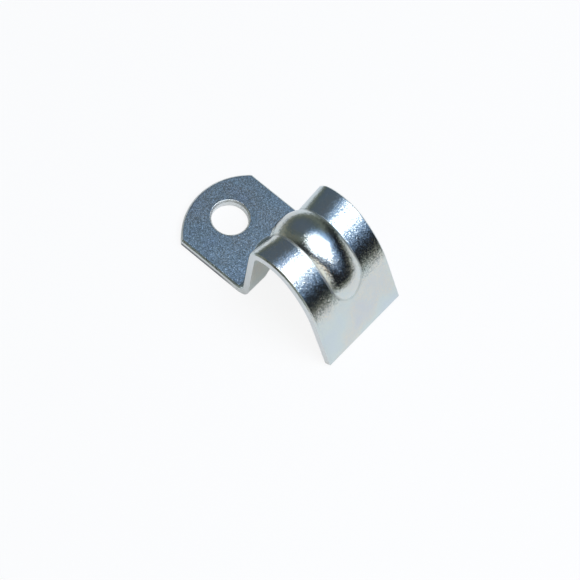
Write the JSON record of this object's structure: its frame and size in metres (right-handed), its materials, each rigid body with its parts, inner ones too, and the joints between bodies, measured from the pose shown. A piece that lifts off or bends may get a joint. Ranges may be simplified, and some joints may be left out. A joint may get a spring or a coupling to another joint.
{
  "type": "one-hole strap",
  "caption": "Folded sheet-steel strap with a flat screw tab, an upright riser and a curved saddle stiffened by a pressed rib; it holds a pipe or cable against a wall.",
  "frame": {"origin": "on the screw hole's axis, at the tab's underside, which lies on the wall", "axes": "+X from the screw hole towards the saddle, along the strip; +Y across the strip; +Z out of the wall, along the screw hole"},
  "size_m": [0.0392, 0.019, 0.0179],
  "materials": {
    "zinc_plated_steel": "bright zinc plating over rolled sheet, satin with a fine grain"
  },
  "bodies": {
    "root": {"strap": "zinc_plated_steel"}
  },
  "joints": []
}
